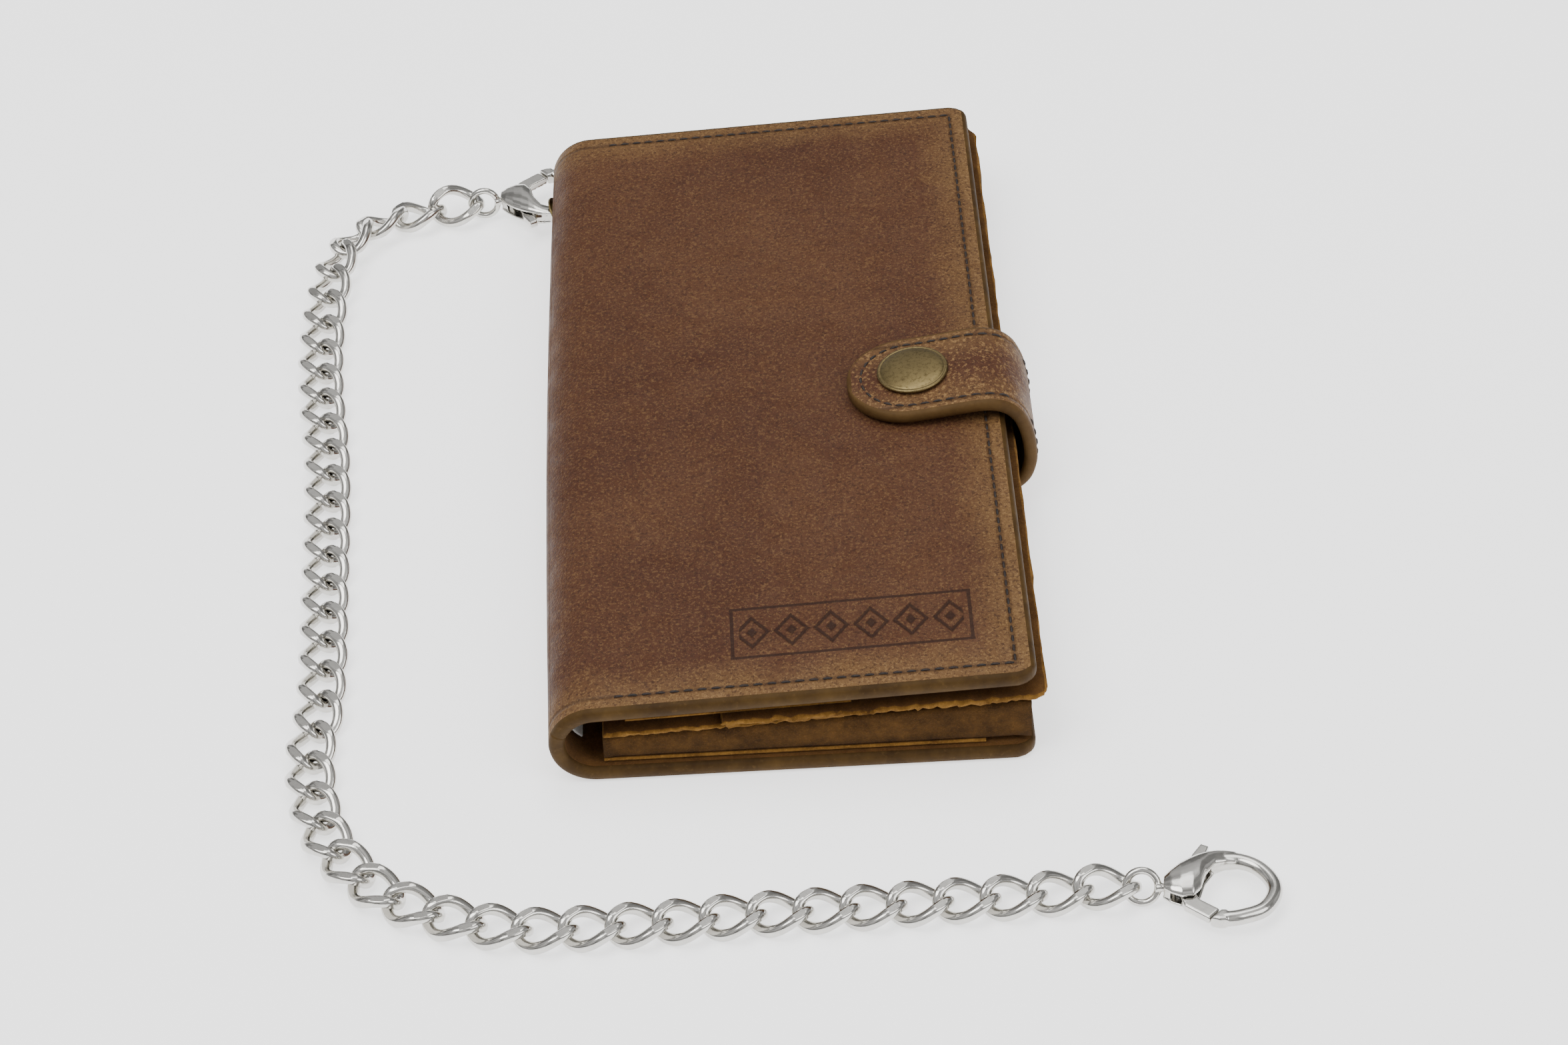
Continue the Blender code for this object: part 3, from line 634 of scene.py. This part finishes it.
def make_inner_layers(looks):
    """Card pockets on the cover, and the pouch's panel and flap with their raw edges."""
    raw = looks["raw"]
    for number, (depth, end) in enumerate(((3.5, 82.0), (4.4, 66.0), (5.3, 50.0)), start=1):
        runs = runs_between(6.0, end, 4.0, True, True, 0.25, 2.0)
        layer = sheet_piece(f"card_pocket_leather_{number}", lambda r, y, d, k=depth: cover_place(r, y, d + k),
                            runs, lambda r: 93.0, 0.6, [looks["card"], raw], True, True, 0.25)
        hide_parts(f"card_pocket_{number}")
        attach(layer, "cover")
    runs = runs_between(1.2, 48.5, 0.9, True, True, 0.45)
    panel = sheet_piece("pouch_panel_suede", lambda r, y, d: cover_place(r, y, d + 7.6), runs,
                        lambda r: 94.4, 1.0, [looks["suede"], raw], True, True, 0.45, 64, 0.35, 3.0)
    roughen(panel, 94.4, 0.35)
    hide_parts("pouch_panel")
    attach(panel, "wallet")
    runs = runs_between(24.5, 88.0, 0.9, True, True, 0.5, 3.0)
    flap = sheet_piece("pouch_flap_suede", lambda r, y, d: cover_place(r, y, d + 6.2), runs,
                       lambda r: 95.4 - inset(88.0 - r, 3.0), 1.1, [looks["suede"], raw], True, True,
                       0.5, 64, 0.35, 9.0)
    roughen(flap, 95.4, 0.5)
    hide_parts("pouch_flap")
    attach(flap, "wallet")
    lining = sheet_piece("back_lining_suede", lambda r, y, d: Vector((r, y, 4.3 - d)),
                         runs_between(-37.0, 37.6, 4.0), lambda r: 94.0, 0.8, [looks["dark_suede"], raw],
                         rounding=0.3)
    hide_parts("back_lining")
    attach(lining, "wallet")


def make_gusset(look):
    """Suede wall round the pouch, bellied a little, with its corner seams pinched."""
    x_from, x_to, y_from, y_to = -37.0, 46.5, -94.0, 94.0
    corners = ((x_from, y_from), (x_to, y_from), (x_to, y_to), (x_from, y_to))
    loop = []
    for start, end in zip(corners, corners[1:] + corners[:1]):
        for step in range(24):
            t = step / 24
            spot = Vector(start).lerp(Vector(end), t)
            way = (Vector(end) - Vector(start)).normalized()
            out = Vector((way.y, -way.x))
            if step == 0:
                out = Vector(start).normalized() * 0.0
            loop.append((spot, out, min(t, 1 - t) * (Vector(end) - Vector(start)).length))
    bm = bmesh.new()
    rings = []
    for spot, out, seam in loop:
        top_line = cover_place((spot.x - SPINE_X) / math.cos(COVER_SLOPE), 0.0, 8.9).z
        belly = min(seam / 6.0, 1.0)
        ring = []
        centre = Vector(((x_from + x_to) / 2, 0.0))
        inward = Vector((-1 if spot.x > centre.x else 1, -1 if spot.y > 0 else 1))
        for level in range(7):
            t = level / 6
            swell = 0.45 * math.sin(math.pi * t) * belly - 0.25 * (1 - belly)
            wave = 0.22 * noise.noise(Vector((spot.x * 0.09, spot.y * 0.09, t * 2.5)))
            place = spot + out * (swell + wave * belly - 0.35)
            ring.append(bm.verts.new((place.x, place.y, 4.6 + (top_line - 4.6) * t)))
        for level in (6, 0):
            z = ring[level].co.z
            ring.append(bm.verts.new((spot.x + inward.x * (1.2 if abs(out.x) or out.length == 0 else 0.0),
                                      spot.y + inward.y * (1.2 if abs(out.y) or out.length == 0 else 0.0), z)))
        rings.append(ring)
    count = len(rings[0])
    for low, high in zip(rings, rings[1:] + rings[:1]):
        for k in range(count):
            bm.faces.new((low[k], low[(k + 1) % count], high[(k + 1) % count], high[k]))
    wall = new_piece("pouch_gusset_suede", bm, [look])
    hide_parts("pouch_gusset")
    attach(wall, "wallet")


def make_insert(look):
    def place(run, y, depth):
        angle = 104.0 + math.degrees(run / 5.5)
        x, z = spine_point(angle, SPINE_RADIUS - 5.5 + depth)
        return Vector((x, y - 9.0, z))
    length = 5.5 * math.radians(131.0)
    card = sheet_piece("white_insert", place, runs_between(0.0, length, 0.6), lambda r: 79.0, 0.4,
                       [look, look], rounding=0.15)
    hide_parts("insert_sheet")
    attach(card, "wallet")


def strap_half(run):
    x = along(STRAP_CURVE, run)[0].x
    reach = STRAP_TIP + STRAP_HALF - x
    if run < STRAP_SPLIT or reach <= 0.0:
        return STRAP_HALF
    return math.sqrt(max(STRAP_HALF**2 - reach**2, 0.02))


def make_strap(face, border, inside, look_thread):
    tip = next(k * 0.05 for k in range(2000) if k * 0.05 > 40.0
               and along(STRAP_CURVE, k * 0.05)[0].x < STRAP_TIP + 0.05)
    lower = sheet_piece("leather_strap_bend", strap_place, runs_between(-0.2, STRAP_SPLIT, 0.7),
                        strap_half, STRAP_THICKNESS, [face, border, inside], rounding=1.2, divisions=8,
                        inner_face=True)
    upper_runs = set(runs_between(STRAP_SPLIT, tip, 1.0, False, True, 1.2, 6.0))
    upper_runs.update(runs_between(tip - STRAP_HALF, tip, 0.5))
    upper = sheet_piece("leather_strap_end", strap_place, sorted(upper_runs), strap_half,
                        STRAP_THICKNESS, [face, border, inside], False, True, rounding=1.2, divisions=8,
                        inner_face=True)

    def on_strap(run):
        return tuple(strap_place(run, 0.0, 0.0) * MM)

    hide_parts("strap_loop")
    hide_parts("strap_tab")
    on_strap(-0.6)
    on_strap(3.2)
    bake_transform(lower)
    on_strap(19.2)
    on_strap(23.8)
    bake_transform(upper)

    margin = 3.0
    half = STRAP_HALF - margin
    centre = STRAP_TIP + STRAP_HALF
    arc_start = min((k * 0.05 for k in range(500, 2000)),
                    key=lambda r: abs(along(STRAP_CURVE, r)[0].x - centre))
    for name, low, high, body in (("strap_stitches_bend", 3.4, 18.6, "strap_bend"),):
        for side in (1, -1):
            row = stitches(f"{name}_{'far' if side > 0 else 'near'}", strap_place,
                           [(low, half * side), (high, half * side)], 2.7, look_thread)
            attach(row, body)
    path = [(24.6, half)]
    path += [(arc_start + half * math.sin(a), half * math.cos(a))
             for a in (math.pi * k / 24 for k in range(25))]
    path += [(24.6, -half)]
    row = stitches("strap_stitches_end", strap_place, path, 2.7, look_thread)
    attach(row, "strap_end")


def snap_frame():
    place, way = min((along(STRAP_CURVE, k * 0.25) for k in range(100, 300)),
                     key=lambda p: abs(p[0].x - SNAP_X))
    out = Vector((way.y, -way.x))
    surface = place + out * STRAP_THICKNESS / 2
    tilt = math.atan2(out.x, out.y)
    return Matrix.Translation((surface.x, SNAP_Y, surface.y)) @ Matrix.Rotation(tilt, 4, "Y")


def make_snap(brass):
    rim = [(7.1 + 0.4 * math.cos(a), 0.8 + 0.4 * math.sin(a))
           for a in (math.radians(d) for d in range(-90, 121, 21))]
    dome = [(6.75 * math.cos(a), 1.05 + 0.8 * math.sin(a)) for a in (math.radians(d) for d in range(6, 90, 7))]
    profile = [(0.0, 0.4), (6.6, 0.4), *rim, *dome, (0.0, 1.85)]
    cap = turned_piece("snap_cap_brass", profile, snap_frame(), brass, 72)
    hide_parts("snap_cap")
    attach(cap, "strap_end")


def link_frame(line, number, distance):
    middle, way = along(line, distance)
    heading = math.atan2(way.y, way.x)
    roll = math.radians(LINK_ROLLS.get(number, 0.0))
    low = 0.0
    for step in range(24):
        turn = 2 * math.pi * step / 24
        low = min(low, LINK_HALF_WIDTH * math.sin(turn) * math.sin(roll - LINK_TWIST * math.cos(turn)))
    lift = REST_GAP + 0.95 - low
    if number == 1:
        lift = WALLET_CLASP_EYE[2]
    if number == LINKS:
        lift = FREE_CLASP_EYE[2]
    return (Matrix.Translation((middle.x, middle.y, lift)) @ Matrix.Rotation(heading, 4, "Z")
            @ Matrix.Rotation(roll, 4, "X"))


def add_link(bm, frame, around=48, sides=16):
    """One curb link: a twisted oval wire of rounded square section, its two faces ground flat."""
    rings = []
    for step in range(around):
        turn = 2 * math.pi * step / around

        def spot(angle, grow=0.0):
            twist = -LINK_TWIST * math.cos(angle)
            across = (LINK_HALF_WIDTH + grow) * math.sin(angle)
            return Vector(((LINK_HALF_LENGTH + grow) * math.cos(angle), across * math.cos(twist),
                           across * math.sin(twist)))

        way = (spot(turn + 0.01) - spot(turn - 0.01)).normalized()
        out = spot(turn, 1.0) - spot(turn)
        out = (out - way * out.dot(way)).normalized()
        up = way.cross(out)
        ring = []
        for k in range(sides):
            a = 2 * math.pi * (k + 0.5) / sides
            c, s = math.cos(a), math.sin(a)
            size = LINK_WIRE / (abs(c) ** 2.8 + abs(s) ** 2.8) ** (1 / 2.8)
            place = spot(turn) + (out * c + up * s) * size
            place.z = max(min(place.z, LINK_FLAT), -LINK_FLAT)
            ring.append(bm.verts.new(place))
        rings.append(ring)
    made = []
    for low, high in zip(rings, rings[1:] + rings[:1]):
        for k in range(sides):
            face = bm.faces.new((low[k], low[(k + 1) % sides], high[(k + 1) % sides], high[k]))
            face.smooth = not all(abs(abs(v.co.z) - LINK_FLAT) < 1e-6 for v in face.verts)
            made.append(face)
    bmesh.ops.transform(bm, matrix=frame, verts=[v for ring in rings for v in ring])


def make_chain(nickel):
    line = smooth_line(CHAIN_ROUTE, 8)
    spots = [along(line, k * 0.1)[0] for k in range(4200)]
    first = min(range(400), key=lambda k: abs(spots[k].x - WALLET_CLASP_EYE[0] + LINK_TO_EYE)) * 0.1
    last = min(range(3600, 4200), key=lambda k: abs(spots[k].x - FREE_CLASP_EYE[0] + LINK_TO_EYE)) * 0.1
    bm = bmesh.new()
    frames = []
    for number in range(1, LINKS + 1):
        distance = first + (last - first) * (number - 1) / (LINKS - 1)
        frames.append(link_frame(line, number, distance))
        add_link(bm, frames[-1])
    chain = new_piece("curb_chain", bm, [nickel], smooth=False)
    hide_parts(*[f"chain_links_{k:02d}_{k + 1:02d}" for k in range(1, LINKS, 2)])
    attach(chain, "wallet")
    path = [frames[0] @ Vector((-LINK_HALF_LENGTH, 0, 0)), *[f.translation for f in frames],
            frames[-1] @ Vector((LINK_HALF_LENGTH, 0, 0))]
    path = [tuple(spot * MM) for spot in path]
    length = sum((Vector(b) - Vector(a)).length for a, b in zip(path, path[1:]))
    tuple(path[0])


CLASP_SECTIONS = (
    ((4.0, -1.6), (4.0, 1.6), 1.8), ((5.5, -2.7), (5.2, 3.2), 2.4), ((7.5, -3.5), (7.0, 5.2), 2.8),
    ((9.7, -3.2), (8.8, 6.6), 2.95), ((11.1, -1.2), (10.6, 7.7), 2.85), ((11.9, 2.2), (12.2, 8.4), 2.5),
    ((13.6, 5.2), (13.9, 8.9), 2.0), ((15.6, 6.1), (15.7, 9.1), 1.55), ((17.6, 6.2), (17.7, 8.9), 1.3),
)
CLASP_SLOT = 1.1
CLASP_HALF = 2.4
GATE_OUTLINE = (
    (6.15, -1.1), (6.9, -1.85), (8.0, -5.3), (12.6, -8.4), (14.55, -5.95), (10.9, -3.6), (9.5, -1.2),
    (9.9, 2.2), (11.8, 8.2), (12.5, 10.6), (11.0, 11.2), (9.3, 8.2), (7.9, 3.2), (6.9, 0.85),
    (6.15, 0.1),
)
HOOK_LINE = (
    (12.4, 6.6), (17.0, 7.6), (21.3, 6.2), (24.2, 2.7), (24.7, -1.0), (22.6, -4.9), (18.6, -6.9),
    (16.4, -7.45), (15.2, -7.6),
)
HOOK_TAPER = (1.2, 1.05, 1.0, 1.0, 1.0, 1.0, 1.0, 1.0, 0.95)
HOOK_RADIUS = 1.5
GATE_PIN = (7.5, -0.5)
EYE_RADIUS = 3.05
EYE_WIRE = 0.74


def prism(bm, outline, low, high, shrink=1.0):
    """Solid of a flat outline, its upper and lower faces drawn in for a domed casting."""
    middle = sum((Vector(p) for p in outline), Vector((0.0, 0.0))) / len(outline)
    rows = []
    for height, scale in ((low, shrink), (low * 0.55, 1.0), (high * 0.55, 1.0), (high, shrink)):
        rows.append([bm.verts.new((*(middle + (Vector(p) - middle) * scale), height)) for p in outline])
    count = len(outline)
    for a, b in zip(rows, rows[1:]):
        for k in range(count):
            bm.faces.new((a[k], a[(k + 1) % count], b[(k + 1) % count], b[k]))
    bm.faces.new(rows[0][::-1])
    bm.faces.new(rows[-1])


def dome(bm, side):
    """One cheek of the clasp: a domed teardrop that runs into the hook, flat towards the slot."""
    rows = []
    arc = 14
    for low, high, height in CLASP_SECTIONS:
        low, high = Vector(low), Vector(high)
        centre, reach = (low + high) / 2, (high - low) / 2
        rows.append([
            bm.verts.new((*(centre + reach * math.cos(a)),
                          side * (CLASP_SLOT + (height - CLASP_SLOT) * math.sin(a) ** 0.8)))
            for a in (math.pi * k / arc for k in range(arc + 1))
        ])
    count = arc + 1
    for a, b in zip(rows, rows[1:]):
        for k in range(count):
            bm.faces.new((a[k], a[(k + 1) % count], b[(k + 1) % count], b[k])[::int(side)])
    bm.faces.new(rows[0][::-1][::int(side)])
    bm.faces.new(rows[-1][::int(side)])


def cast(thing, voxel, smoothing=6):
    """Blends a piece's overlapping solids into one casting with soft edges."""
    remesh = thing.modifiers.new("cast", "REMESH")
    remesh.mode = "VOXEL"
    remesh.voxel_size = voxel * MM
    remesh.use_smooth_shade = True
    polish = thing.modifiers.new("polish", "SMOOTH")
    polish.factor = 0.5
    polish.iterations = smoothing


def make_clasp(tag, frame, side, nickel):
    flip = frame @ Matrix.Diagonal((1.0, side, 1.0, 1.0))
    body_name = "gate_wallet_end" if tag == "wallet_end" else "gate_free_end"
    eye_name = "eye_wallet_end" if tag == "wallet_end" else "eye_free_end"
    pieces = []

    bm = bmesh.new()
    dome(bm, 1.0)
    dome(bm, -1.0)
    prism(bm, ((4.1, -1.3), (5.4, -2.2), (5.4, 2.4), (4.1, 1.3)), -1.8, 1.8, 0.9)
    prism(bm, ((14.75, -6.1), (12.75, -8.6), (14.6, -9.1), (16.0, -8.9), (16.0, -6.05)), -1.4, 1.4, 0.8)
    hook = smooth_line([(x, y, 0.0) for x, y in HOOK_LINE], 6)
    tapers = [a + (b - a) * k / 6 for a, b in zip(HOOK_TAPER, HOOK_TAPER[1:]) for k in range(6)]
    tube(bm, hook, HOOK_RADIUS, 20, radii=[*tapers, HOOK_TAPER[-1]])
    bm.transform(flip)
    casting = new_piece(f"clasp_casting_{tag}", bm, [nickel])
    cast(casting, 0.18, 5)
    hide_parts(f"clasp_body_{tag}")
    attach(casting, "wallet")
    pieces.append(casting)

    bm = bmesh.new()
    prism(bm, GATE_OUTLINE, -0.85, 0.85, 0.97)
    bm.transform(flip)
    gate = new_piece(f"clasp_lever_{tag}", bm, [nickel])
    cast(gate, 0.16, 2)
    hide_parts(f"clasp_gate_{tag}")
    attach(gate, body_name)
    pieces.append(gate)

    bm = bmesh.new()
    roll = frame @ Matrix.Rotation(math.radians(EYE_ROLLS[tag]), 4, "X")
    circle = [Vector((EYE_RADIUS * math.cos(a), EYE_RADIUS * math.sin(a), 0.0))
              for a in (2 * math.pi * k / 48 for k in range(48))]
    tube(bm, circle, EYE_WIRE, 16, closed=True)
    tube(bm, [Vector((2.6, 0, 0)), Vector((3.4, 0, 0)), Vector((5.75, 0, 0))], 0.75, 16, radii=(1.6, 1.2, 0.8))
    bm.transform(roll)
    eye = new_piece(f"swivel_ring_{tag}", bm, [nickel])
    cast(eye, 0.15, 2)
    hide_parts(f"swivel_eye_{tag}")
    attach(eye, eye_name)
    pieces.append(eye)

    head = [(0.0, -2.62), (0.7, -2.6), (0.95, -2.45), (0.95, -2.2), (0.68, -2.1), (0.68, 2.1), (0.95, 2.2),
            (0.95, 2.45), (0.7, 2.6), (0.0, 2.62)]
    pin = turned_piece(f"clasp_rivet_{tag}", head,
                       frame @ Matrix.Translation((GATE_PIN[0], GATE_PIN[1] * side, 0.0)), nickel, 24)
    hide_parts(f"clasp_pin_{tag}")
    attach(pin, "wallet")
    pieces.append(pin)
    return pieces


def studio_walls(tree):
    """Pale ceiling over grey walls with darker gaps, so that polished metal has something to reflect."""
    back = tree.nodes["Background"]
    place = tree.nodes.new("ShaderNodeTexCoord").outputs["Generated"]
    split = tree.nodes.new("ShaderNodeSeparateXYZ")
    tree.links.new(place, split.inputs["Vector"])
    height = tree.nodes.new("ShaderNodeMapRange")
    tree.links.new(split.outputs["Z"], height.inputs["Value"])
    for key, value in (("From Min", 0.05), ("From Max", 0.75), ("To Min", 0.36), ("To Max", 0.85)):
        height.inputs[key].default_value = value
    gaps = tree.nodes.new("ShaderNodeTexNoise")
    tree.links.new(place, gaps.inputs["Vector"])
    gaps.inputs["Scale"].default_value = 2.6
    gaps.inputs["Detail"].default_value = 0.0
    dark = tree.nodes.new("ShaderNodeMapRange")
    tree.links.new(gaps.outputs["Fac"], dark.inputs["Value"])
    for key, value in (("From Min", 0.40), ("From Max", 0.52), ("To Min", 0.40), ("To Max", 1.0)):
        dark.inputs[key].default_value = value
    both = tree.nodes.new("ShaderNodeMath")
    both.operation = "MULTIPLY"
    tree.links.new(height.outputs["Result"], both.inputs[0])
    tree.links.new(dark.outputs["Result"], both.inputs[1])
    tree.links.new(both.outputs[0], back.inputs["Strength"])
    back.inputs["Color"].default_value = (1.0, 1.0, 1.0, 1.0)


def make_stage():
    bm = bmesh.new()
    bmesh.ops.create_grid(bm, x_segments=2, y_segments=2, size=3000.0)
    floor = new_piece("floor", bm, [floor_look()])
    floor.location.z = -0.0001
    world = bpy.context.scene.world or bpy.data.worlds.new("studio")
    bpy.context.scene.world = world
    world.use_nodes = True
    studio_walls(world.node_tree)
    for name, place, size, power in (
        ("key_light", (-0.45, -0.25, 1.1), 0.8, 9.0),
        ("fill_light", (0.8, -0.6, 0.8), 0.8, 5.0),
        ("back_light", (0.1, 0.45, 1.3), 0.9, 6.0),
    ):
        lamp = bpy.data.lights.new(name, "AREA")
        lamp.shape = "DISK"
        lamp.size = size
        lamp.energy = power
        thing = bpy.data.objects.new(name, lamp)
        thing.location = place
        thing.rotation_euler = (-Vector(place)).to_track_quat("-Z", "Y").to_euler()
        bpy.context.scene.collection.objects.link(thing)


def make_camera():
    camera = bpy.data.cameras.new("camera")
    camera.lens = CAMERA_LENS
    camera.sensor_width = 36.0
    camera.clip_start = 0.01
    thing = bpy.data.objects.new("camera", camera)
    right, up = Vector(CAMERA_RIGHT), Vector(CAMERA_UP)
    back = right.cross(up)
    turn = Matrix((right, up, back)).transposed().to_4x4()
    thing.matrix_world = Matrix.Translation(Vector(CAMERA_PLACE) * MM) @ turn
    bpy.context.scene.collection.objects.link(thing)
    bpy.context.scene.camera = thing


def finish_frame_nodes(frame, looks):
    """Better materials for the CAD nodes that stay."""
    kept = {
        "strap_root": looks["inside"], "snap_stud": looks["brass"], "snap_socket": looks["brass"],
        "chain_eyelet": looks["brass"], "clasp_spring_wallet_end": looks["steel"],
        "clasp_spring_free_end": looks["steel"],
    }
    for name, look in kept.items():
        for slot in frame["nodes"][name].material_slots:
            slot.material = look


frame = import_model()
make_camera()
make_stage()
looks = {
    "shell": waxed_leather("waxed_leather_shell"),
    "cover": waxed_leather("waxed_leather_cover", marked=True),
    "strap": waxed_leather("waxed_leather_strap", 70.0, STRAP_HALF + 1.2, STRAP_Y, cracked=0.36,
                           speck_scale=1150.0),
    "edge": painted_edge("painted_edge", (0.038, 0.019, 0.005), (0.080, 0.043, 0.011)),
    "strap_edge": painted_edge("burnished_edge", (0.062, 0.032, 0.010), (0.105, 0.058, 0.019)),
    "inside": suede("suede_inside", (0.018, 0.009, 0.004), (0.05, 0.024, 0.010)),
    "suede": suede("suede_tan", (0.075, 0.034, 0.010), (0.15, 0.070, 0.020)),
    "raw": suede("suede_raw_edge", (0.085, 0.038, 0.008), (0.26, 0.130, 0.028), 1500.0),
    "dark_suede": suede("suede_dark", (0.028, 0.012, 0.003), (0.100, 0.047, 0.011)),
    "card": suede("card_leather", (0.05, 0.022, 0.008), (0.10, 0.046, 0.015), 900.0),
    "white": white_card("white_card"),
    "thread": thread("dark_thread"),
    "nickel": metal("bright_nickel", (0.60, 0.585, 0.55), (0.25, 0.24, 0.23), 0.15, 0.05),
    "steel": metal("spring_wire", (0.5, 0.5, 0.5), (0.2, 0.2, 0.2), 0.3, 0.2),
    "brass": metal("antique_brass", (0.21, 0.158, 0.070), (0.055, 0.040, 0.016), 0.36, 0.85),
}
clasps = []
clasps += make_clasp("wallet_end", Matrix.Translation(WALLET_CLASP_EYE) @ Matrix.Rotation(
    -math.radians(WALLET_CLASP_PITCH), 4, "Y"), -1, looks["nickel"])
clasps += make_clasp("free_end", Matrix.Translation(FREE_CLASP_EYE) @ Matrix.Rotation(
    math.radians(FREE_CLASP_TURN), 4, "Z"), 1, looks["nickel"])
clasps += [frame["nodes"]["clasp_spring_wallet_end"], frame["nodes"]["clasp_spring_free_end"]]
make_chain(looks["nickel"])
make_shell(looks["shell"], looks["cover"], looks["edge"], looks["suede"])
make_inner_layers(looks)
make_gusset(looks["dark_suede"])
make_insert(looks["white"])
make_strap(looks["strap"], looks["strap_edge"], looks["inside"], looks["thread"])
make_snap(looks["brass"])
cover_row = stitches("cover_stitches", cover_place, [
    (4.0, HALF_LENGTH - 4.0), (COVER_LENGTH - 4.0, HALF_LENGTH - 4.0),
    (COVER_LENGTH - 4.0, -HALF_LENGTH + 4.0), (4.0, -HALF_LENGTH + 4.0)], 2.7, looks["thread"])
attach(cover_row, "cover")
finish_frame_nodes(frame, looks)
